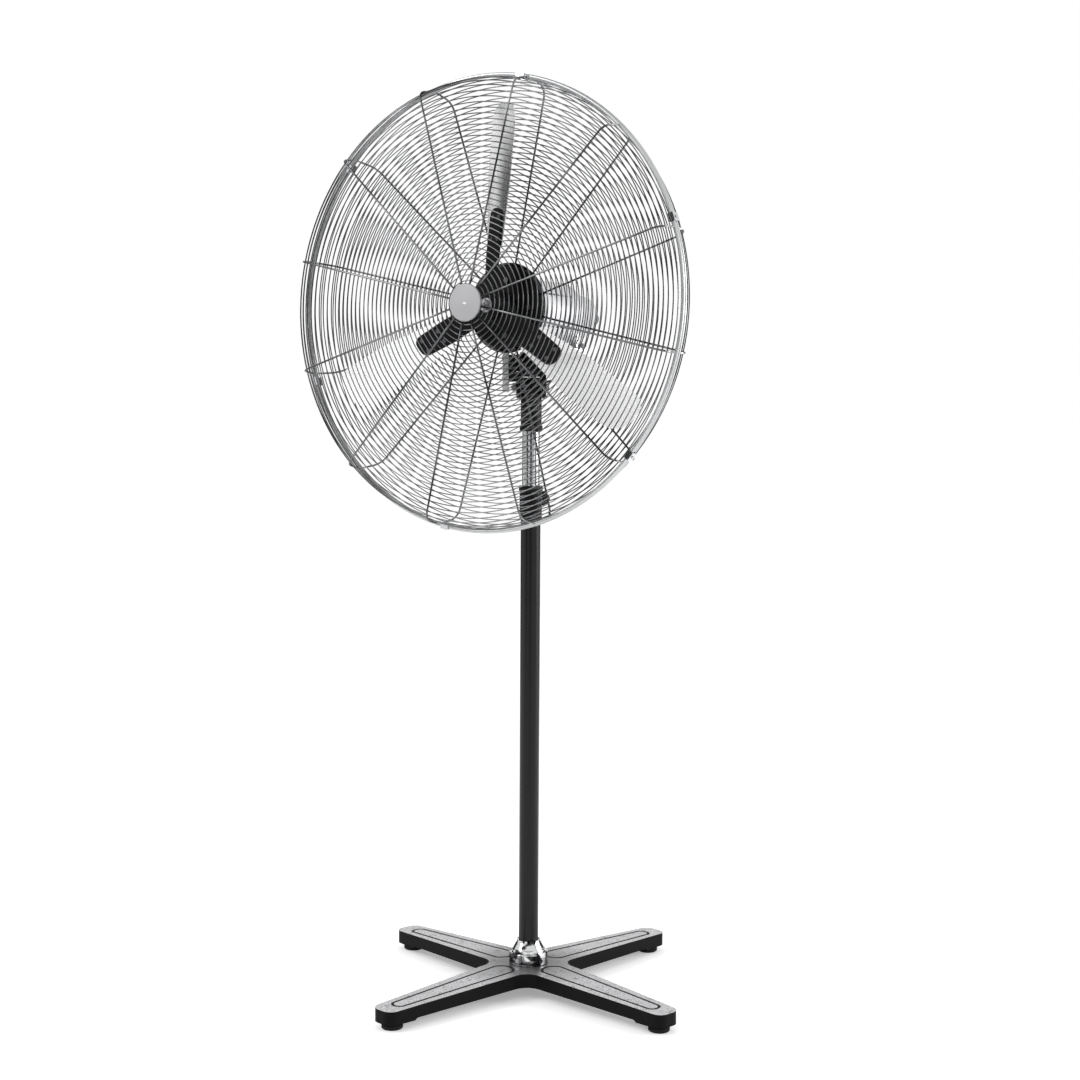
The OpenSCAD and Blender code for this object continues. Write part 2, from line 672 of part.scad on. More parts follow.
module stator() color([0.35, 0.35, 0.37]) fan_frame() translate([0, 0, -52]) difference() {
    tube(motor_r - motor_wall - fit, 22, 96);
    for (a = [0:15:345]) rotate([0, 0, a]) translate([32, -1.5, -1]) cube([9, 3, 98]);
}

module bearings() color(steel) fan_frame() {
    for (z = [motor_front, -motor_back - bearing_t]) translate([0, 0, z]) difference() {
        cylinder(r = bearing_r, h = bearing_t - tiny);
        translate([0, 0, -1]) cylinder(r = shaft_r + run, h = bearing_t + 2);
        for (f = [-1, bearing_t - 1.5]) translate([0, 0, f]) difference() {
            cylinder(r = 14.5, h = 2.5);
            translate([0, 0, -1]) cylinder(r = 10.5, h = 5);
        }
    }
}

// ---------------------------------------------------------------- saddle

saddle_col_r = 13.5;
saddle_r = 40;

module saddle() color(black) difference() {
    union() {
        translate([0, 0, pivot_h - 38]) cylinder(r = pivot_r, h = 50);
        translate([0, 0, pivot_h + air]) cylinder(r = saddle_col_r, h = 14);
        intersection() {
            translate([-saddle_r, -34, pivot_h + 12]) cube([2 * saddle_r, 68, 26]);
            translate([0, 0, pivot_h]) cylinder(r = saddle_r, h = 60);
        }
    }
    fan_frame() translate([0, 0, -60]) cylinder(r = motor_r + fit, h = 120, $fn = 96);
    saddle_bolt_axis() cylinder(r = 3 + fit, h = 30);
    saddle_bolt_axis() translate([0, 0, -1]) cylinder(r = 6.3, h = saddle_head_h + 1);
}

// Four screws pass up through the block into the motor body, heads sunk in its underside
saddle_head_h = 4.4;
module saddle_bolt_axis() for (x = [-28, 28]) for (y = [-16, 16])
    translate([x, y, pivot_h + 12]) children();

module saddle_bolts() color(steel) saddle_bolt_axis() {
    translate([0, 0, 0.4]) hexagon(10, saddle_head_h - 0.4);
    translate([0, 0, saddle_head_h - 0.5]) cylinder(r = 3, h = 10.4);
}

// ---------------------------------------------------------------- clamp plate and guards

plate_screw_pitch_r = 51;
guard_ring_in = 45;
guard_ring_out = clamp_plate_r + 7;

module plate_screw_axis() for (a = [0:90:270]) rotate([0, 0, a])
    translate([plate_screw_pitch_r, 0, motor_front + 4]) children();

module clamp_plate() color(black) fan_frame() difference() {
    rotate_extrude($fn = 96) translate([0, motor_face + guard_plate_t]) polygon([
        [20, 0], [clamp_plate_r - 1.5, 0], [clamp_plate_r, 1], [clamp_plate_r, clamp_plate_t - 1.5],
        [clamp_plate_r - 1.5, clamp_plate_t], [30, clamp_plate_t], [26, clamp_plate_t - 2],
        [20, clamp_plate_t - 2]]);
    plate_screw_axis() cylinder(r = 3 + fit, h = 40);
}

module plate_screws() color(steel) fan_frame() plate_screw_axis() {
    cylinder(r = 3, h = clamp_face - motor_front - 2);
    translate([0, 0, clamp_face - motor_front - 4]) cylinder(r = 5, h = 3);
}

bend_front_r = 20;
bend_rear_r = 26;
weld = 0.05;
front_from = [badge_r - 6, rim_out + front_crown];
front_corner = [rim_r - 10, rim_out + front_depth];
front_to = [rim_r, front_rim_z + rim_wire_r + weld];
rear_from = [clamp_plate_r + 0.5, motor_face + guard_plate_t + spoke_wire_r + weld];
rear_corner = [rim_r - 12, rim_out - rear_depth];
rear_to = [rim_r, rear_rim_z - rim_wire_r - weld];

// Rings lie on the inside of the radial wires, side is 1 for the front guard and -1 for the rear
ring_drop = spoke_wire_r + ring_wire_r + weld;
function on_face(from, corner, r) =
    from[1] + (corner[1] - from[1]) * (r - from[0]) / (corner[0] - from[0]);

// Ring wires in section, at their radius and height
module ring_section(at) translate(at) circle(r = ring_wire_r, $fn = 8);

module guard_ring_sections(from, corner, to, bend_r, first_ring, side) {
    last_r = bend_start(from, corner, to, bend_r)[0];
    for (r = [last_r:-ring_pitch:first_ring])
        ring_section([r, on_face(from, corner, r) - side * ring_drop]);
    // the bend and the side carry rings too
    for (t = [0.4, 0.8]) ring_section(bend_point(from, corner, to, bend_r, bend_r - ring_drop, t));
    out = (to - corner) / norm(to - corner);
    for (t = [0.55, 0.85])
        ring_section(corner + (to - corner) * t + side * ring_drop * [out[1], -out[0]]);
}

module guard_spokes(from, corner, to, bend_r)
    for (k = [0:spoke_count - 1]) rotate([0, 0, spoke_phase + 360 / spoke_count * k])
        swept_tube([for (q = bend_path(from, corner, to, bend_r, 7)) [q[0], 0, q[1]]],
                   spoke_wire_r, 8, [0, 1, 0]);

centre_wire_r = 2;
module front_rings() color(chrome) fan_frame() rotate_extrude($fn = 160) {
    guard_ring_sections(front_from, front_corner, front_to, bend_front_r, badge_r + 4, 1);
    translate([badge_r - 4, front_from[1] - spoke_wire_r - centre_wire_r - weld])
        circle(r = centre_wire_r, $fn = 16);
    translate([rim_r, front_rim_z]) circle(r = rim_wire_r, $fn = 16);
}

module front_spokes() color(chrome) fan_frame()
    guard_spokes(front_from, front_corner, front_to, bend_front_r);

module rear_rings() color(chrome) fan_frame() difference() {
    rotate_extrude($fn = 160) {
        guard_ring_sections(rear_from, rear_corner, rear_to, bend_rear_r, guard_ring_out + 5, -1);
        translate([rim_r, rear_rim_z]) circle(r = rim_wire_r, $fn = 16);
        translate([guard_ring_in, motor_face]) square([guard_ring_out - guard_ring_in, guard_plate_t]);
    }
    plate_screw_axis() cylinder(r = 3 + fit, h = 30);
}

module rear_spokes() color(chrome) fan_frame()
    guard_spokes(rear_from, rear_corner, rear_to, bend_rear_r);

module badge() color(pale_grey) fan_frame() translate([0, 0, front_from[1] + spoke_wire_r]) {
    rotate_extrude($fn = 96) polygon([
        [0, 0], [badge_r - 1, 0], [badge_r, 0.8], [badge_r, 1.8], [badge_r - 1.2, 3], [0, 3.4]]);
}

clip_count = 6;
clip_phase = 20;
clip_w = 16;
clip_t = 1.5;

module clip_places() fan_frame() for (k = [0:clip_count - 1])
    rotate([0, 0, clip_phase + 360 / clip_count * k]) translate([rim_r, 0, rim_out]) children();

// A spring-steel clip, bent over both rim wires
module guard_clips() color(chrome) clip_places() {
    reach = 2 * rim_wire_r + 0.2 + air;
    rotate([90, 0, 0]) linear_extrude(height = clip_w, center = true) difference() {
        translate([-rim_wire_r - 3, -reach - clip_t])
            square([2 * rim_wire_r + 3 + air + clip_t, 2 * (reach + clip_t)]);
        translate([-rim_wire_r - 4, -reach]) square([2 * rim_wire_r + 4 + air, 2 * reach]);
    }
}

module clip_screws() color(steel) clip_places() {
    translate([rim_wire_r + air + clip_t, 0, 0]) rotate([0, 90, 0]) cylinder(r = 3, h = 1.6);
}

// ---------------------------------------------------------------- rotor

hub_low = clamp_face + 12;
hub_high = blade_z + 14;

module motor_shaft() color(steel) fan_frame() {
    translate([0, 0, -motor_back - 62]) cylinder(r = 5, h = 50);
    translate([0, 0, -motor_back - 14]) cylinder(r = shaft_r, h = motor_back + 14 + hub_high);
    translate([0, 0, hub_high - 1]) cylinder(r = 6, h = 18);
}

module rotor_core() color([0.45, 0.45, 0.46]) fan_frame() translate([0, 0, -50]) difference() {
    cylinder(r = 32, h = 92);
    translate([0, 0, -1]) cylinder(r = shaft_r + fit, h = 94);
    for (a = [0:20:340]) rotate([0, 0, a]) translate([28, 0, -1]) cylinder(r = 1.8, h = 94);
}

worm_core_r = 10.5;
worm_r = 13;
worm_l = 27;
worm_pitch = 5;
module worm() color(steel) fan_frame() translate([0, 0, -motor_back - 44]) difference() {
    union() {
        cylinder(r = worm_core_r, h = worm_l);
        for (k = [0:3]) translate([0, 0, 3 + worm_pitch * k]) rotate_extrude() polygon([
            [0, 0], [worm_core_r, 0], [worm_r, 1], [worm_r, 2], [worm_core_r, 3], [0, 3]]);
    }
    translate([0, 0, -1]) cylinder(r = 5 + fit, h = worm_l + 2);
}

// A blade lies along +X: its curved sheet is rolled about a line in front of it
module rolled_sheet(r_low, r_high, x0, x1)
    translate([x0, 0, blade_camber_r]) rotate([0, 90, 0]) difference() {
        cylinder(r = r_high, h = x1 - x0, $fn = 192);
        translate([0, 0, -1]) cylinder(r = r_low, h = x1 - x0 + 2, $fn = 192);
    }

// Chord of a blade at its root, and where it reaches its full width
root_chord = 0.66 * blade_chord;
full_chord_r = blade_root_r + 120;

module blade_plan() intersection() {
    polygon(concat(
        [[blade_root_r, root_chord / 2], [blade_root_r, -root_chord / 2]],
        [[full_chord_r, -blade_chord / 2]],
        arc(blade_tip_r - 40, -blade_chord / 2 + 38, 38, -90, 0, 8),
        arc(blade_tip_r - 30, blade_chord / 2 - 28, 28, 0, 90, 8),
        [[full_chord_r, blade_chord / 2]]));
    circle(r = blade_tip_r, $fn = 192);
}

// The arms lie on the front of the blades; their front face at the middle of an arm
spider_face = blade_t + fit + spider_t;
arm_corner_r = arm_end_w / 2 - 4;
module spider_arm_plan() polygon(concat(
    [[0, 21], [0, -21], [60, -21], [95, -arm_end_w / 2 - 3]],
    arc(arm_tip_r - arm_corner_r, -4, arm_corner_r, -90, 0, 6),
    arc(arm_tip_r - arm_corner_r, 4, arm_corner_r, 0, 90, 6),
    [[95, arm_end_w / 2 + 3], [60, 21]]));

module blade_place(k) fan_frame() translate([0, 0, blade_z])
    rotate([0, 0, blade_phase + 120 * k]) rotate([-blade_pitch, 0, 0]) children();

rivet_x = [blade_root_r + 14, arm_tip_r - 16];
rivet_y = [-0.27 * arm_end_w, 0.27 * arm_end_w];
rivet_head_r = 4.5;
// The heads clear the rolled face of the arm
rivet_head_z = spider_face + pow(rivet_y[1] + rivet_head_r, 2) / (2 * blade_camber_r) + 0.05;
module rivet_places() for (x = rivet_x, y = rivet_y) translate([x, y, 0]) children();

module blade(k) color(silver) blade_place(k) difference() {
    intersection() {
        rolled_sheet(blade_camber_r - blade_t, blade_camber_r, blade_root_r - 2, blade_tip_r + 2);
        translate([0, 0, -30]) linear_extrude(height = 60) blade_plan();
    }
    rivet_places() translate([0, 0, -10]) cylinder(r = 2.5 + fit, h = 20);
}
module blade_1() blade(0);
module blade_2() blade(1);
module blade_3() blade(2);

module blade_spider() color(black) difference() {
    union() {
        fan_frame() translate([0, 0, hub_low]) cylinder(r = 28, h = hub_high - hub_low);
        for (k = [0:2]) blade_place(k) intersection() {
            rolled_sheet(blade_camber_r - spider_face, blade_camber_r - blade_t - fit,
                         10, arm_tip_r + 2);
            translate([0, 0, -30]) linear_extrude(height = 60) spider_arm_plan();
        }
    }
    fan_frame() translate([0, 0, hub_low - 1]) cylinder(r = shaft_r + fit, h = hub_high - hub_low + 2);
    for (k = [0:2]) blade_place(k)
        rivet_places() translate([0, 0, -10]) cylinder(r = 2.5 + fit, h = 20);
}

module blade_rivets() color(steel) for (k = [0:2]) blade_place(k) rivet_places() {
    translate([0, 0, -1]) cylinder(r = 2.5, h = rivet_head_z + 1.5);
    translate([0, 0, rivet_head_z]) cylinder(r1 = rivet_head_r, r2 = 3, h = 1.8);
    translate([0, 0, -1.8]) cylinder(r = 3.6, h = 1.8);
}

module hub_nut() color(steel) fan_frame() translate([0, 0, hub_high]) difference() {
    union() {
        cylinder(r = 13, h = 2);
        translate([0, 0, 1]) hexagon(19, 10);
    }
    translate([0, 0, -1]) cylinder(r = 6 + fit, h = 14);
}

// ---------------------------------------------------------------- swing drive

crank_shaft_r = 5;
crank_pin_r = 3.5;
knob_stem_r = 4;
link_slack = 2.6;
gear_r = 15;
gear_h = fan_axis_h - crank_back * tan(fan_pitch);

module crank_place() translate([crank_side, crank_back, 0]) rotate([0, 0, crank_angle]) children();

module crank() color(steel) crank_place() {
    translate([0, 0, crank_low]) cylinder(r = 9, h = crank_t);
    translate([0, -5, crank_low]) cube([crank_throw, 10, crank_t]);
    translate([crank_throw, 0, crank_low]) cylinder(r = 7, h = crank_t);
    translate([crank_throw, 0, link_low - 3]) cylinder(r = crank_pin_r, h = crank_low - link_low + 4);
    translate([0, 0, crank_low + 1]) cylinder(r = crank_shaft_r, h = gear_h + 4 - crank_low);
}

module drive_gear() color([0.75, 0.7, 0.6]) crank_place() translate([0, 0, gear_h - 4]) difference() {
    cylinder(r = gear_r, h = 8);
    translate([0, 0, -1]) cylinder(r = crank_shaft_r + fit, h = 10);
    for (a = [0:15:345]) rotate([0, 0, a]) translate([gear_r + 0.4, 0, -1]) cylinder(r = 1.1, h = 10);
}

module drive_link() color(steel) crank_place() translate([crank_throw, 0, link_low])
    rotate([0, 0, link_angle - crank_angle]) difference() {
        union() {
            cylinder(r = 7, h = link_t);
            translate([0, -4, 0]) cube([link_l, 8, link_t]);
            translate([link_l, 0, 0]) cylinder(r = 8.4, h = link_t);
        }
        translate([0, 0, -1]) cylinder(r = crank_pin_r + run, h = link_t + 2);
        translate([link_l, 0, -1]) cylinder(r = 3 + link_slack, h = link_t + 2);
    }

module link_clip() color(steel) crank_place() translate([crank_throw, 0, link_low - 2]) difference() {
    cylinder(r = 6, h = 1.7);
    translate([0, 0, -1]) cylinder(r = crank_pin_r + fit, h = 4);
}

module swing_knob() color(black) fan_frame() rotate([180, 0, 0]) translate([0, 0, gear_end]) {
    translate([0, 0, -22]) cylinder(r = knob_stem_r, h = 28);
    difference() {
        translate([0, 0, 4]) rotate_extrude() polygon([
            [0, 0], [11, 0], [13, 2], [13, 6], [14, 8], [14, 30], [12, 33], [0, 33]]);
        for (a = [0:30:330]) rotate([0, 0, a]) translate([15, 0, 11]) cylinder(r = 2, h = 30);
    }
}

module swing_tip() color(pale_grey) fan_frame() rotate([180, 0, 0]) translate([0, 0, gear_end + 37])
    rotate_extrude() polygon(concat([[0, 0], [4, 0], [4, 3]], arc(0, 7, 6, -40, 90, 8)));

// ---------------------------------------------------------------- nodes

base_casting();
foot_pads();
pole_bolt();
pole_plug();
base_collar();
outer_pole();
clamp_collar();
pole_bush();
clamp_knob();
clamp_screw();
sliding_pole();
neck();
neck_screws();
tilt_bracket();
tilt_bolt();
tilt_nut();
pivot_bush();
anchor_pin();
lead_gland();
motor_lead();
switch_box();
switch_cover();
cover_screws();
speed_knob();
saddle();
saddle_bolts();
motor_body();
front_cover();
gear_case();
case_screws();
stator();
bearings();
clamp_plate();
plate_screws();
lead_boot();
rear_rings();
rear_spokes();
front_rings();
front_spokes();
guard_clips();
clip_screws();
badge();
motor_shaft();
rotor_core();
worm();
blade_spider();
blade_1();
blade_2();
blade_3();
blade_rivets();
hub_nut();
crank();
drive_gear();
drive_link();
link_clip();
swing_knob();
swing_tip();
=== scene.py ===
# %% [markdown]
# # A wire-guarded pedestal fan
# The solids of this fan arrive as a fixed frame, already in place and already jointed. This lesson dresses them:
# it gives each metal, paint and moulding its own finish, and draws again the pieces whose roundness matters most,
# above all the hundred or so bright wires of the two guards.

# %% Load the frame
import json
import math

import bmesh
import bpy
from mathutils import Matrix, Vector


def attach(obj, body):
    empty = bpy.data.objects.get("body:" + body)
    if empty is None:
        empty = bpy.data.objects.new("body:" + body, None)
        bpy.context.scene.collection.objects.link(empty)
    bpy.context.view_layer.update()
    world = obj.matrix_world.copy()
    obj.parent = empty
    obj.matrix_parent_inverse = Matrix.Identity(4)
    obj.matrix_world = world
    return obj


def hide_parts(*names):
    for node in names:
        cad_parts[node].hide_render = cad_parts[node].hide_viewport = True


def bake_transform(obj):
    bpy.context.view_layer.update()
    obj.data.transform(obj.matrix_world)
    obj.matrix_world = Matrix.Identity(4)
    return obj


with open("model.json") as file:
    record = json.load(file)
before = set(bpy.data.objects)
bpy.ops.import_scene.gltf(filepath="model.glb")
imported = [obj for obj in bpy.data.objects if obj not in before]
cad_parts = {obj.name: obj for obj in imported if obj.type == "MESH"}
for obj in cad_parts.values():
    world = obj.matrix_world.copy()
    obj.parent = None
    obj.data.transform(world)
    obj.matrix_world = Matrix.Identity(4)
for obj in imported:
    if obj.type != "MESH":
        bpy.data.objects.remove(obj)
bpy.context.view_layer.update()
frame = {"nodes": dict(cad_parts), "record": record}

# %% [markdown]
# ## Camera
# The fan is seen from its right front, from a little under the height of its hub, with a long lens, so that the
# round guard shows as a narrow ellipse and the pole stays straight.

# %% Camera
CAMERA_AZIMUTH, CAMERA_REACH, CAMERA_HEIGHT = math.radians(33.07), 3.5873, 1.1724
CAMERA_YAW, CAMERA_PITCH, CAMERA_ROLL = math.radians(32.78), math.radians(-4.7), math.radians(0.33)

def aim(yaw, pitch, roll):
    forward = Vector((-math.sin(yaw) * math.cos(pitch), math.cos(yaw) * math.cos(pitch), math.sin(pitch)))
    right = forward.cross(Vector((0, 0, 1))).normalized()
    up = right.cross(forward)
    turned_right = right * math.cos(roll) + up * math.sin(roll)
    turned_up = up * math.cos(roll) - right * math.sin(roll)
    return Matrix((turned_right, turned_up, -forward)).transposed().to_4x4()

lens = bpy.data.cameras.new("camera")
lens.lens, lens.sensor_width = 62.48, 36
lens.clip_end = 200
camera = bpy.data.objects.new("camera", lens)
bpy.context.scene.collection.objects.link(camera)
camera.matrix_world = Matrix.Translation((
    math.sin(CAMERA_AZIMUTH) * CAMERA_REACH, -math.cos(CAMERA_AZIMUTH) * CAMERA_REACH, CAMERA_HEIGHT,
)) @ aim(CAMERA_YAW, CAMERA_PITCH, CAMERA_ROLL)
bpy.context.scene.camera = camera
print("camera at", [round(v, 3) for v in camera.location])

# %% [markdown]
# ## Shader maths
# Every finish here is built from noise and simple arithmetic. A small class wraps one output of a shader node and
# lets the arithmetic be written as ordinary expressions; each operator adds the Math node that it names.

# %% Shader maths
class Value:
    """One output of a node. Arithmetic on it adds Math nodes."""

    def __init__(self, finish, socket):
        self.finish, self.socket = finish, socket

    def math(self, operation, *others):
        inputs = dict(enumerate((self,) + others))
        return self.finish.node("ShaderNodeMath", {"operation": operation}, inputs)

    def __add__(self, other): return self.math("ADD", other)
    def __radd__(self, other): return self.math("ADD", other)
    def __sub__(self, other): return self.math("SUBTRACT", other)
    def __rsub__(self, other): return (self * -1) + other
    def __mul__(self, other): return self.math("MULTIPLY", other)
    def __rmul__(self, other): return self.math("MULTIPLY", other)
    def __truediv__(self, other): return self.math("DIVIDE", other)
    def __pow__(self, other): return self.math("POWER", other)
    def clamped(self): return self.math("MAXIMUM", 0.0).math("MINIMUM", 1.0)
    def above(self, level, softness): return ((self - level) / softness).clamped()


class Finish:
    """A named material with one Principled surface."""

    def __init__(self, name):
        self.material = bpy.data.materials.new(name)
        self.material.use_nodes = True
        self.tree = self.material.node_tree
        self.tree.nodes.clear()
        self.output = self.tree.nodes.new("ShaderNodeOutputMaterial")
        self.surface = self.tree.nodes.new("ShaderNodeBsdfPrincipled")
        self.tree.links.new(self.surface.outputs[0], self.output.inputs["Surface"])
        self.place = self.node("ShaderNodeTexCoord", {}, {}, "Object")

    def feed(self, socket, value):
        if isinstance(value, Value):
            self.tree.links.new(value.socket, socket)
        elif socket.type == "RGBA" and len(value) == 3:
            socket.default_value = (*value, 1)
        else:
            socket.default_value = value

    def node(self, kind, settings, inputs, output=0):
        node = self.tree.nodes.new(kind)
        for name, setting in settings.items():
            setattr(node, name, setting)
        for name, value in inputs.items():
            self.feed(node.inputs[name], value)
        return Value(self, node.outputs[output])

    def noise(self, scale, detail=2.0, roughness=0.5, where=None):
        return self.node("ShaderNodeTexNoise", {}, {
            "Vector": where or self.place, "Scale": scale, "Detail": detail, "Roughness": roughness})

    def stretched(self, x, y, z):
        return self.node("ShaderNodeMapping", {}, {"Vector": self.place, "Scale": (x, y, z)})

    def blend(self, share, low, high):
        return self.node("ShaderNodeMix", {"data_type": "RGBA"}, {0: share, 6: low, 7: high}, 2)

    def bump(self, height, strength, distance):
        return self.node("ShaderNodeBump", {}, {
            "Height": height, "Strength": strength, "Distance": distance})

    def shade(self, **inputs):
        for name, value in inputs.items():
            self.feed(self.surface.inputs[name.replace("_", " ")], value)
        return self.material

print("shader maths ready")

# %% [markdown]
# ## Bright plate
# The guards, the sliding pole and the base collar are plated steel. Plate mirrors whatever is round it, so its own
# colour is a plain grey, and faint clouding in the roughness keeps a long wire from looking drawn with a ruler. The
# guard wires and the collar also have reflections painted into their colour.

# %% Bright plate
FINISHES = {}
MM = 0.001
# The fan's axis above the floor, its tilt in degrees, and its rims: radius, distance forward and wire
FAN_AXIS_H, FAN_PITCH = 1314, 2
RIM_R, RIM_OUT, RIM_WIRE_R = 415, 160.5, 3.5

def bright_plate(name, colour, rough, clouding):
    finish = Finish(name)
    cloud = finish.noise(9.0, 3.0)
    speck = finish.noise(260.0, 2.0)
    return finish.shade(
        Metallic=1.0,
        Base_Color=finish.blend(cloud, colour, tuple(c * 0.88 for c in colour)),
        Roughness=rough + clouding * cloud + 0.04 * speck)

def wire_with_painted_reflections(name, rim_painted_sheen, light, dark):
    """Plate on the guards, with reflections painted into its colour: a dark grey with painted light and dark
    stretches along a wire, and a painted sheen that keeps the thick rims bright.
    """
    finish = Finish(name)
    rim_centre_h = (FAN_AXIS_H + RIM_OUT * math.sin(math.radians(FAN_PITCH))) * MM
    rim_starts, rim_fade = (RIM_R - RIM_WIRE_R - 0.3) * MM, 0.8 * MM
    x = finish.node("ShaderNodeSeparateXYZ", {}, {0: finish.place}, "X")
    z = finish.node("ShaderNodeSeparateXYZ", {}, {0: finish.place}, "Z") - rim_centre_h
    from_axis = (x * x + z * z) ** 0.5
    rim = from_axis.above(rim_starts, rim_fade)
    # Painted reflection: the wires' colour clouds between light and dark stretches.
    cloud = finish.noise(7.0, 3.0).above(0.42, 0.16)
    return finish.shade(
        Metallic=1.0,
        Base_Color=finish.blend(rim, finish.blend(cloud, dark, light), rim_painted_sheen),
        Roughness=0.10 + 0.12 * cloud + 0.26 * rim)

def collar_plate_with_painted_reflections(name, light, dark):
    """Thick plate on the collar, polished by hand. Its colour holds painted reflections: darker and lighter patches
    that stand in for the bands it mirrors.
    """
    finish = Finish(name)
    # Painted reflection: the dark and light patches of the collar's colour.
    patch = finish.noise(1.0, 1.5, 0.5, finish.stretched(34.0, 34.0, 70.0)).above(0.46, 0.07)
    return finish.shade(
        Metallic=1.0,
        Base_Color=finish.blend(patch, dark, light),
        Roughness=0.05 + 0.05 * patch)

FINISHES["chrome"] = bright_plate("chrome", (0.66, 0.67, 0.68), 0.06, 0.08)
# The collar's dark and light patches are painted reflection.
FINISHES["collar_chrome"] = collar_plate_with_painted_reflections(
    "collar_chrome", (0.66, 0.665, 0.67), (0.035, 0.035, 0.037))
# The wires' dark grey, their light and dark stretches and their bright rims are painted reflection.
FINISHES["wire"] = wire_with_painted_reflections(
    "wire", (0.52, 0.525, 0.53), (0.19, 0.192, 0.196), (0.045, 0.046, 0.048))
print("plate:", ", ".join(FINISHES))

# %% [markdown]
# ## Zinc, bronze and core steel
# Screws, bolts and the swing crank are zinc plated: greyer, softer in gloss and mottled. The blades' rivets and the
# plate's screws are blackened, the bushes are bronze, and the motor's core is a darker steel.

# %% Zinc and bronze
def mottled_metal(name, colour, rough, spread):
    finish = Finish(name)
    patch = finish.noise(45.0, 4.0)
    return finish.shade(
        Metallic=1.0,
        Base_Color=finish.blend(patch, colour, tuple(c * (1 - spread) for c in colour)),
        Roughness=rough + 0.18 * finish.noise(120.0, 3.0),
        Normal=finish.bump(patch, 0.15, 0.0004))

FINISHES["steel"] = mottled_metal("steel", (0.60, 0.60, 0.62), 0.22, 0.25)
FINISHES["blackened"] = mottled_metal("blackened", (0.12, 0.12, 0.125), 0.34, 0.25)
FINISHES["bronze"] = mottled_metal("bronze", (0.62, 0.42, 0.18), 0.30, 0.30)
FINISHES["core_steel"] = mottled_metal("core_steel", (0.32, 0.32, 0.33), 0.38, 0.30)
print("metals:", ", ".join(FINISHES))

# %% [markdown]
# ## Black coatings and mouldings
# The pole, neck and brackets wear a satin powder coat with a fine orange peel, and the pole's is glossier. Knobs and
# boxes are moulded, with a spark-eroded grain. The feet are rubber, which is duller.

# %% Black coatings
def powder_coat(name, colour, rough, peel_size, peel, gloss=0.10):
    finish = Finish(name)
    peel_map = finish.noise(peel_size, 2.0)
    wear = finish.noise(6.0, 5.0)
    return finish.shade(
        Base_Color=finish.blend(wear, colour, tuple(c * 1.35 + 0.002 for c in colour)),
        Roughness=rough + 0.12 * wear,
        Specular_IOR_Level=gloss,
        Normal=finish.bump(peel_map, peel, 0.0004))

FINISHES["black_paint"] = powder_coat(
    "black_paint", (0.005, 0.0053, 0.006), 0.30, 700.0, 0.25)
FINISHES["pole_paint"] = powder_coat(
    "pole_paint", (0.004, 0.004, 0.0044), 0.24, 700.0, 0.25, gloss=0.25)
FINISHES["black_plastic"] = powder_coat(
    "black_plastic", (0.009, 0.009, 0.0095), 0.42, 1400.0, 0.30)
FINISHES["rubber"] = powder_coat("rubber", (0.014, 0.014, 0.014), 0.72, 900.0, 0.35)
FINISHES["grey_plastic"] = powder_coat("grey_plastic", (0.50, 0.50, 0.51), 0.42, 1400.0, 0.20)
print("finishes so far:", len(FINISHES))

# %% [markdown]
# ## Motor paint and blade metal
# The motor is sprayed silver, with flakes that sparkle a little. The blades and badge are bare aluminium sheet,
# whose rolling lines run along the blade.

# %% Motor paint and blade metal
def silver_paint(name, colour):
    finish = Finish(name)
    flake = finish.noise(1800.0, 1.0)
    cloud = finish.noise(14.0, 3.0)
    return finish.shade(
        Metallic=0.75,
        Base_Color=finish.blend(flake, colour, tuple(c * 0.75 for c in colour)),
        Roughness=0.34 + 0.14 * cloud,
        Normal=finish.bump(finish.noise(500.0, 2.0), 0.2, 0.0003))

def rolled_alloy(name, colour, rough, fade=0.86):
    finish = Finish(name)
    lines = finish.noise(1.0, 3.0, 0.6, finish.stretched(40.0, 1400.0, 40.0))
    cloud = finish.noise(12.0, 3.0)
    return finish.shade(
        Metallic=1.0,
        Base_Color=finish.blend(cloud, colour, tuple(c * fade for c in colour)),
        Roughness=rough + 0.16 * lines + 0.08 * cloud,
        Normal=finish.bump(lines, 0.08, 0.0002))

FINISHES["motor_paint"] = silver_paint("motor_paint", (0.74, 0.745, 0.76))
FINISHES["blade_alloy"] = rolled_alloy("blade_alloy", (0.965, 0.967, 0.97), 0.07, 0.95)
FINISHES["badge_metal"] = rolled_alloy("badge_metal", (0.37, 0.37, 0.38), 0.34)
print("paint and alloy ready")

# %% [markdown]
# ## Base casting
# The base is black all over except its upper faces, where the coat has been ground off and the casting shows as
# bright speckled metal, with shade painted in that darkens it towards the pole. The slope of the surface says which
# is which, so one material does both.

# %% Base casting
def ground_casting(name):
    finish = Finish(name)
    normal = finish.node("ShaderNodeNewGeometry", {}, {}, "Normal")
    x, y, height = (finish.node("ShaderNodeSeparateXYZ", {}, {0: finish.place}, axis) for axis in "XYZ")
    from_pole = (x * x + y * y) ** 0.5
    slope = finish.node("ShaderNodeSeparateXYZ", {}, {0: normal}, "Z")
    speckle = finish.noise(420.0, 4.0, 0.7)
    blotch = finish.noise(55.0, 3.0)
    bright = slope.above(0.93, 0.04) * height.above(0.030, 0.004)
    ground = finish.blend(speckle.above(0.42, 0.25), (0.36, 0.36, 0.37), (0.84, 0.84, 0.85))
    # Painted shade: the bright metal darkens towards the pole.
    ground = finish.blend(from_pole.above(0.045, 0.11), (0.17, 0.17, 0.175), ground)
    worn = bright * (speckle * 0.6 + blotch * 0.5).above(0.34, 0.16)
    return finish.shade(
        Base_Color=finish.blend(worn, (0.006, 0.006, 0.0065), ground),
        Specular_IOR_Level=0.06,
        Metallic=worn * 0.7,
        Roughness=0.42 - 0.12 * worn + 0.1 * blotch,
        Normal=finish.bump(speckle, 0.35, 0.0005))

FINISHES["cast_black"] = ground_casting("cast_black")
print("finishes:", len(FINISHES))

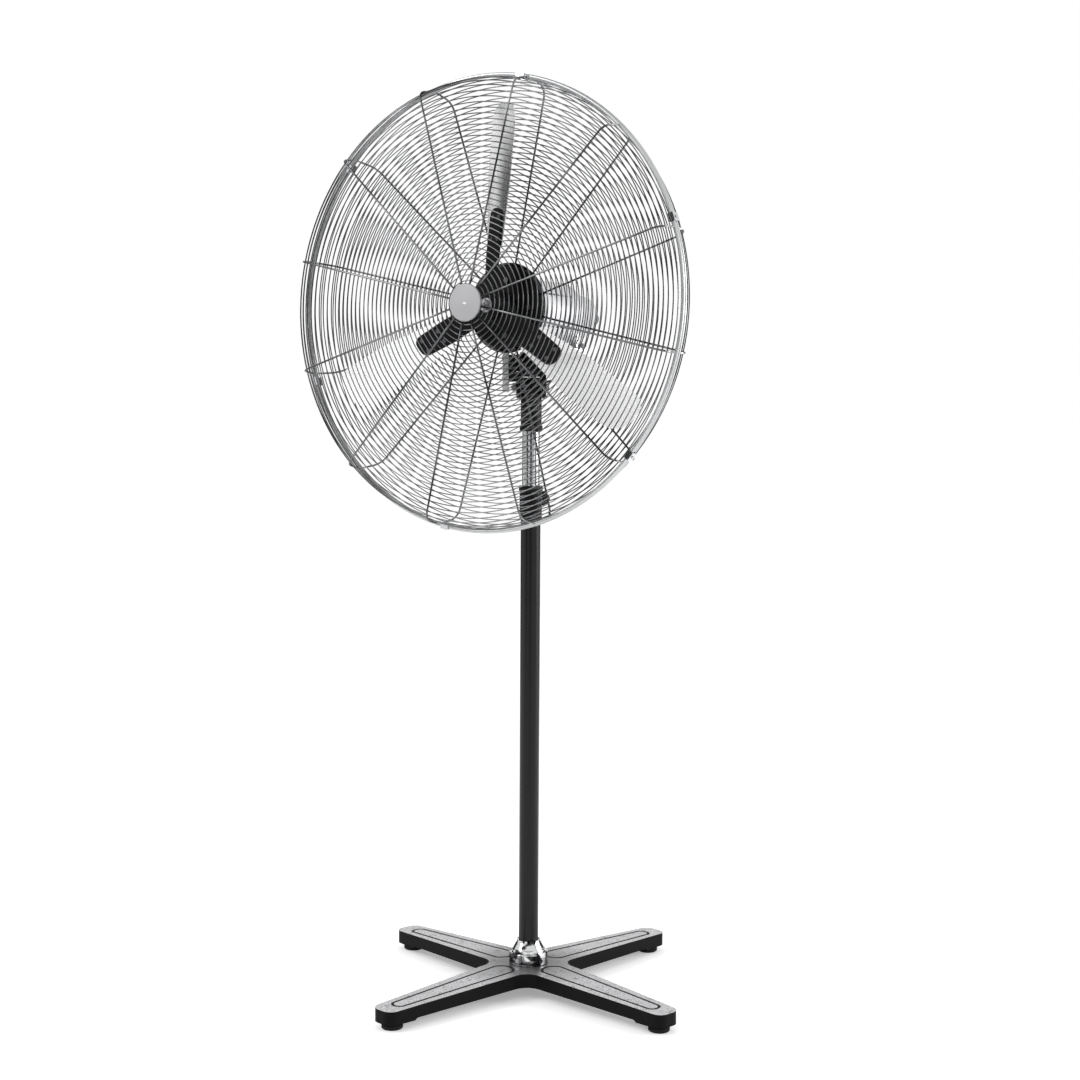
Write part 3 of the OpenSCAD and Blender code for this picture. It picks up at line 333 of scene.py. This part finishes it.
# %% Put each finish on the solids
slot_of = {part["node"]: part["material_slot"] for part in frame["record"]["subparts"]}
SPECIAL = {"base_collar": "collar_chrome", "outer_pole": "pole_paint",
           "plate_screws": "blackened", "blade_rivets": "blackened"}
for name, solid in frame["nodes"].items():
    solid.data.materials.clear()
    solid.data.materials.append(FINISHES[SPECIAL.get(name, slot_of[name])])
print("dressed", len(slot_of), "solids")

# %% [markdown]
# ## Round wire and cable
# A solid that was swept with flat sides shows its facets in a mirror finish. The radial wires and the motor's lead
# are drawn again as round tubes: a circle of points is carried along the route, and neighbouring circles are
# joined by quads. The route is rounded first by a spline through its points.

# %% Tube along a route
def rounded(points, steps):
    """A Catmull-Rom spline through the points."""
    ends = [points[0] * 2 - points[1]] + list(points) + [points[-1] * 2 - points[-2]]
    route = []
    for a, b, c, d in zip(ends, ends[1:], ends[2:], ends[3:]):
        for step in range(steps):
            t = step / steps
            route.append(0.5 * ((2 * b) + (c - a) * t + (2 * a - 5 * b + 4 * c - d) * t * t
                                + (3 * b - a - 3 * c + d) * t * t * t))
    return route + [points[-1]]

def tube_into(bm, route, radius, sides, across):
    """Adds a tube with closed ends to a bmesh. The route never runs along the direction across."""
    rings = []
    for i, point in enumerate(route):
        ahead = (route[min(i + 1, len(route) - 1)] - route[max(i - 1, 0)]).normalized()
        side = ahead.cross(across).normalized()
        up = side.cross(ahead)
        rings.append([
            bm.verts.new(point + radius * (math.cos(a) * side + math.sin(a) * up))
            for a in (2 * math.pi * k / sides for k in range(sides))])
    for low, high in zip(rings, rings[1:]):
        for k in range(sides):
            bm.faces.new((low[k], low[(k + 1) % sides], high[(k + 1) % sides], high[k]))
    bm.faces.new(list(reversed(rings[0])))
    bm.faces.new(rings[-1])

def piece(name, bm, slot, body, finish=None):
    """Turns a bmesh into a smooth piece of the fan, which rides on a body when one is given."""
    bmesh.ops.recalc_face_normals(bm, faces=bm.faces)
    mesh = bpy.data.meshes.new(name)
    bm.to_mesh(mesh)
    bm.free()
    for face in mesh.polygons:
        face.use_smooth = len(face.vertices) <= 4
    mesh.materials.append(FINISHES[finish or slot])
    obj = bpy.data.objects.new(name, mesh)
    bpy.context.scene.collection.objects.link(obj)
    if body:
        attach(obj, body)
    print(name, len(mesh.vertices), "points")
    return obj

# %% [markdown]
# ## Panel grooves and painted shade
# A groove outlines a panel on each arm of the base, and the walls of the groove keep the black coat. A flat black
# band is laid over each groove and a little beside it, a hair above the metal: it is painted shade along the edge of
# the panel.

# %% Panel grooves and painted shade
STAND_TURN, ARM_END, TOP_H, TIP_H = math.radians(32), 373, 50, 39
HUB_FLAT_R = 48
GROOVE_W, GROOVE_LIFT, GROOVE_DEPTH = 5.4, 0.12, 1.0
# Centre, radius and first and last angle of the arc at each end of a panel
PANEL_ARCS = (76, 26, 112, 248), (ARM_END - 48, 15, -68, 68)
ARC_STEPS, LONGEST_SIDE = 12, 12

def base_height(radius):
    return TOP_H - (TOP_H - TIP_H) * max(0, radius - HUB_FLAT_R) / (ARM_END - HUB_FLAT_R)

def panel_outline(grow):
    """Closed outline of a panel along +X: a large arc at the hub, a small one at the foot."""
    points = []
    for centre, radius, first, last in PANEL_ARCS:
        for step in range(ARC_STEPS + 1):
            a = math.radians(first + (last - first) * step / ARC_STEPS)
            points.append(Vector((centre + (radius + grow) * math.cos(a),
                                  (radius + grow) * math.sin(a))))
    loop = []
    for a, b in zip(points, points[1:] + points[:1]):
        pieces = max(1, round((b - a).length / LONGEST_SIDE))
        loop += [a.lerp(b, k / pieces) for k in range(pieces)]
    return loop

def groove_shade_bands():
    bm = bmesh.new()
    inside, outside = panel_outline(-GROOVE_W / 2), panel_outline(GROOVE_W / 2)
    for arm in range(4):
        turn = Matrix.Rotation(STAND_TURN + math.radians(45 + 90 * arm), 4, "Z")
        bands = []
        for centre in panel_outline(0):
            a, b = (min(edge, key=lambda q: (q - centre).length) for edge in (inside, outside))
            corners = [(a, -GROOVE_DEPTH), (b, -GROOVE_DEPTH), (b, GROOVE_LIFT), (a, GROOVE_LIFT)]
            bands.append([
                bm.verts.new(turn @ (MM * Vector((q.x, q.y, base_height(q.length) + z))))
                for q, z in corners])
        for low, high in zip(bands, bands[1:] + bands[:1]):
            for k in range(4):
                bm.faces.new((low[k], low[(k + 1) % 4], high[(k + 1) % 4], high[k]))
    # The band of painted shade is given the dull black of the rubber.
    return piece("groove_shade_bands", bm, "cast_black", "stand", "rubber")

groove_shade_bands()

# %% [markdown]
# ## Radial wires
# Each guard has twelve. A wire leaves the hub plate or the badge, runs out almost flat, turns through a bend at the
# corner and ends on the rim. Each point is a distance out from the fan's axis and one forward from the pole.

# %% Radial wires
FAN_PLACE = (Matrix.Translation((0, 0, FAN_AXIS_H * MM))
             @ Matrix.Rotation(math.radians(90 - FAN_PITCH), 4, "X"))
WIRES, FIRST_WIRE, WIRE_R = 12, math.radians(17.6), 1.8
RIM_GAP, WELD = 0.2, 0.05
RIM_SIDE = 2 * RIM_WIRE_R + RIM_GAP + WELD
# Start, corner and end of a wire, and the radius of its bend
FRONT_WIRE = Vector((28.5, 217.5)), Vector((405, 208)), Vector((RIM_R, RIM_OUT + RIM_SIDE)), 20
REAR_WIRE = Vector((77.5, 85.85)), Vector((403, 104.5)), Vector((RIM_R, RIM_OUT - RIM_SIDE)), 26
STRAIGHT_STEPS, BEND_STEPS = 6, 10

def bent(start, corner, end, bend_r):
    """Points of a wire that turns a corner on an arc."""
    a, b = (corner - start).normalized(), (end - corner).normalized()
    turn = a.angle(b)
    reach = bend_r * math.tan(turn / 2)
    hand = 1 if a.cross(b) > 0 else -1
    centre = corner - a * reach + Vector((-a.y, a.x)) * hand * bend_r
    first = corner - a * reach - centre
    arc = []
    for step in range(BEND_STEPS + 1):
        angle = hand * turn * step / BEND_STEPS
        arc.append(centre + Vector((first.x * math.cos(angle) - first.y * math.sin(angle),
                                    first.x * math.sin(angle) + first.y * math.cos(angle))))
    straight = [start + (arc[0] - start) * t / STRAIGHT_STEPS for t in range(STRAIGHT_STEPS)]
    return straight + arc + [end]

def radial_wires(name, wire, solid):
    bm = bmesh.new()
    for k in range(WIRES):
        spin = Matrix.Rotation(FIRST_WIRE + 2 * math.pi * k / WIRES, 4, "Z")
        route = [FAN_PLACE @ (spin @ Vector((q.x, 0, q.y)) * MM) for q in bent(*wire)]
        across = (FAN_PLACE.to_3x3() @ (spin.to_3x3() @ Vector((0, 1, 0)))).normalized()
        tube_into(bm, route, WIRE_R * MM, 12, across)
    wires = piece(name, bm, "chrome", "head", "wire")
    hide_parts(solid)

radial_wires("front_radial_wires", FRONT_WIRE, "front_spokes")
radial_wires("rear_radial_wires", REAR_WIRE, "rear_spokes")

# %% [markdown]
# ## Ring wires
# About forty closed rings lie inside the radial wires of each guard and are welded to them. A ring needs nothing but
# its radius and its height, and a torus is built from the two. The outermost of each guard is its thick rim.

# %% Ring wires
RING_DROP, RING_PITCH, RING_WIRE_R = 2.85, 10, 1.05
TURNS, THIN_SIDES, THICK_SIDES = 144, 10, 20
# How far along the bend, and along the wall beyond it, the rings of the corner lie
BEND_SHARES, WALL_SHARES = (0.4, 0.8), (0.55, 0.85)

def torus_into(bm, radius, height, wire_r, sides):
    rings = []
    for step in range(TURNS):
        a = 2 * math.pi * step / TURNS
        out = Vector((math.cos(a), math.sin(a), 0))
        rings.append([bm.verts.new(FAN_PLACE @ (MM * (
            out * (radius + wire_r * math.cos(b)) + Vector((0, 0, height + wire_r * math.sin(b))))))
            for b in (2 * math.pi * k / sides for k in range(sides))])
    for low, high in zip(rings, rings[1:] + rings[:1]):
        for k in range(sides):
            bm.faces.new((low[k], low[(k + 1) % sides], high[(k + 1) % sides], high[k]))

def ring_places(wire, inner, drop):
    """Radius and height of every ring wire along a radial wire."""
    start, corner, end, bend_r = wire
    arc = bent(*wire)[STRAIGHT_STEPS:-1]
    slope = (corner.y - start.y) / (corner.x - start.x)
    places = []
    radius = arc[0].x
    while radius >= inner:
        places.append((radius, start.y + slope * (radius - start.x) - drop))
        radius -= RING_PITCH
    a, b = (corner - start).normalized(), (end - corner).normalized()
    hand = 1 if a.cross(b) > 0 else -1
    centre = arc[0] + Vector((-a.y, a.x)) * hand * bend_r
    for share in BEND_SHARES:
        spoke = arc[round(share * BEND_STEPS)] - centre
        places.append(tuple(centre + spoke * (1 - RING_DROP / bend_r)))
    inward = Vector((b.y, -b.x)) * (1 if Vector((b.y, -b.x)).x < 0 else -1)
    for share in WALL_SHARES:
        places.append(tuple(corner + (end - corner) * share + inward * RING_DROP))
    return places

def ring_wires(name, places, thick, solid, plate=None):
    bm = bmesh.new()
    for radius, height in places:
        torus_into(bm, radius, height, RING_WIRE_R, THIN_SIDES)
    for radius, height, wire_r in thick:
        torus_into(bm, radius, height, wire_r, THICK_SIDES)
    if plate:
        inner, outer, low, high = plate
        edge = [(inner, low), (outer, low), (outer, high), (inner, high)]
        rings = [[bm.verts.new(FAN_PLACE @ (MM * Vector((x * math.cos(a), x * math.sin(a), z))))
                  for x, z in edge]
                 for a in (2 * math.pi * k / TURNS for k in range(TURNS))]
        for near, far in zip(rings, rings[1:] + rings[:1]):
            for k in range(4):
                bm.faces.new((near[k], near[(k + 1) % 4], far[(k + 1) % 4], far[k]))
    wires = piece(name, bm, "chrome", "head", "wire")
    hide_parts(solid)

RIM_HALF = RIM_WIRE_R + RIM_GAP
FRONT_INNER_R, REAR_INNER_R = 38.5, 89
CENTRE_RING = (30.5, 213.65, 2)
HUB_PLATE = (45, 84, 82, 84)
ring_wires("front_ring_wires", ring_places(FRONT_WIRE, FRONT_INNER_R, RING_DROP),
           [CENTRE_RING, (RIM_R, RIM_OUT + RIM_HALF, RIM_WIRE_R)], "front_rings")
ring_wires("rear_ring_wires", ring_places(REAR_WIRE, REAR_INNER_R, -RING_DROP),
           [(RIM_R, RIM_OUT - RIM_HALF, RIM_WIRE_R)], "rear_rings", HUB_PLATE)

# %% [markdown]
# ## Motor lead
# The lead brings current from the neck to the motor, running from the neck to the swinging head. It is drawn as one
# tube in its rest place, attached to neither body, so it stays still when the head turns.

# %% Motor lead
LEAD_R, LEAD_FIT, LEAD_SIDES = 2.5, 0.98, 14
GLAND_X, GLAND_Z = 24.3, 1176
gland_end = [(GLAND_X * math.cos(STAND_TURN) - y * math.sin(STAND_TURN),
              GLAND_X * math.sin(STAND_TURN) + y * math.cos(STAND_TURN), GLAND_Z)
             for y in (27, 33, 40)]
LEAD_ROUTE = gland_end + [
    (-4.4, 54, 1177), (-8, 62, 1179), (-10, 75, 1181), (-8, 92, 1182), (-5, 112, 1181),
    (-3, 132, 1178), (-1, 152, 1174), (0, 170, 1171), (0, 186, 1168), (0, 198, 1166),
    (0, 206, 1167), (0, 210, 1173), (0, 209, 1181), (0, 205, 1191), (0, 199, 1202),
    (0, 192, 1214), (0, 184, 1225), (0, 176, 1235), (0, 168, 1243), (0, 161, 1249),
    (0, 157.2, 1254.5), (0, 157, 1259.3)]
bm = bmesh.new()
lead_route = [Vector(q) * MM for q in LEAD_ROUTE]
tube_into(bm, rounded(lead_route, 4), LEAD_R * MM * LEAD_FIT, LEAD_SIDES, Vector((1, 0, 0)))
lead = piece("lead", bm, "black_plastic", None)
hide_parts("motor_lead")
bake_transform(lead)

# %% [markdown]
# ## Floor, room and lamps
# The room is white to the eye and in mirrors, and dimmer as a source of light, so that pale metal keeps its colour.
# Black cards stand round the fan for the plate to mirror. One soft lamp lights from the left and a smaller one from
# the right.

# %% Floor
ROOM_WHITE, ROOM_LIGHT, FLOOR_LIFT, FLOOR_HALF = (0.97, 0.97, 0.97), 0.75, 0.30, 60

def seen_ray(tree):
    """1 for rays that reach the eye straight, in a mirror or through glass, and 0 for those that carry light."""
    ray = tree.nodes.new("ShaderNodeLightPath")
    total = ray.outputs["Is Camera Ray"]
    for other in ("Is Glossy Ray", "Is Transmission Ray"):
        step = tree.nodes.new("ShaderNodeMath")
        step.operation = "MAXIMUM"
        tree.links.new(total, step.inputs[0])
        tree.links.new(ray.outputs[other], step.inputs[1])
        total = step.outputs[0]
    return total

def sheet(name, half_width, half_height, finish):
    """A flat sheet about its own middle."""
    w, h = half_width, half_height
    mesh = bpy.data.meshes.new(name)
    mesh.from_pydata([(-w, -h, 0), (w, -h, 0), (w, h, 0), (-w, h, 0)], [], [(0, 1, 2, 3)])
    mesh.materials.append(finish.material)
    obj = bpy.data.objects.new(name, mesh)
    bpy.context.scene.collection.objects.link(obj)
    return obj

def floor():
    finish = Finish("floor")
    finish.shade(Base_Color=ROOM_WHITE, Roughness=1.0, Specular_IOR_Level=0.0)
    lift = finish.node("ShaderNodeMath", {"operation": "MULTIPLY"}, {1: FLOOR_LIFT})
    finish.tree.links.new(seen_ray(finish.tree), lift.socket.node.inputs[0])
    finish.shade(Emission_Color=(1, 1, 1), Emission_Strength=lift)
    obj = sheet("floor", FLOOR_HALF, FLOOR_HALF, finish)

floor()
print("floor laid")

# %% Room and lamps
def room(light):
    world = bpy.data.worlds.new("room")
    bpy.context.scene.world = world
    world.use_nodes = True
    nodes, links = world.node_tree.nodes, world.node_tree.links
    nodes.clear()
    strength = nodes.new("ShaderNodeMapRange")
    strength.inputs["To Min"].default_value, strength.inputs["To Max"].default_value = light, 1.0
    links.new(seen_ray(world.node_tree), strength.inputs["Value"])
    back = nodes.new("ShaderNodeBackground")
    back.inputs["Color"].default_value = (1, 1, 1, 1)
    links.new(strength.outputs[0], back.inputs["Strength"])
    end = nodes.new("ShaderNodeOutputWorld")
    links.new(back.outputs[0], end.inputs["Surface"])

def facing(place, target):
    """The turn that points an object at a target."""
    return (Vector(target) - Vector(place)).to_track_quat("-Z", "Y").to_euler()

def lamp(name, place, target, width, watts):
    light = bpy.data.lights.new(name, "AREA")
    light.size, light.energy = width, watts
    obj = bpy.data.objects.new(name, light)
    obj.location, obj.rotation_euler = place, facing(place, target)
    bpy.context.scene.collection.objects.link(obj)

def card(name, place, target, width, height, glow=0.0):
    """A card that only mirrors see: black ones put dark stripes into plated metal, glowing ones put glints."""
    finish = Finish(name)
    finish.shade(Base_Color=(0.01, 0.01, 0.01), Roughness=0.9,
                 Emission_Color=(1, 1, 1), Emission_Strength=glow)
    obj = sheet(name, width / 2, height / 2, finish)
    obj.location, obj.rotation_euler = place, facing(place, target)
    obj.visible_camera = obj.visible_diffuse = obj.visible_shadow = False

room(ROOM_LIGHT)
CARD_REACH, CARD_MIDDLE, CARD_HEIGHT = 3.8, 0.98, 2.75
# Bearing and width of each black card that stands round the fan
CARDS = {"left": (168, 2.4), "far": (75, 1.5), "right": (10, 1.2), "near": (-105, 1.5), "front": (-57, 1.7)}
for side, (bearing, width) in CARDS.items():
    turned = math.radians(bearing)
    card(side + "_card",
         (CARD_REACH * math.cos(turned), CARD_REACH * math.sin(turned), CARD_MIDDLE),
         (0, 0, CARD_MIDDLE), width, CARD_HEIGHT)
card("top_card", (-0.4, 0.6, 4.4), (0, 0, 0), 2.4, 2.4)
card("glint_card", (2.85, 2.55, 1.4), (0, 0, 1.4), 2.0, 3.0, 2.0)
lamp("key_lamp", (-2.6, -3.4, 3.6), (0, 0, 0.9), 2.0, 90)
lamp("side_lamp", (3.3, 1.7, 1.6), (0, 0, 0.9), 1.3, 60)
print("lamps:", len(bpy.data.lights), "cards:", len(CARDS) + 2)

# %% Close
bpy.context.scene.view_settings.view_transform = "Standard"
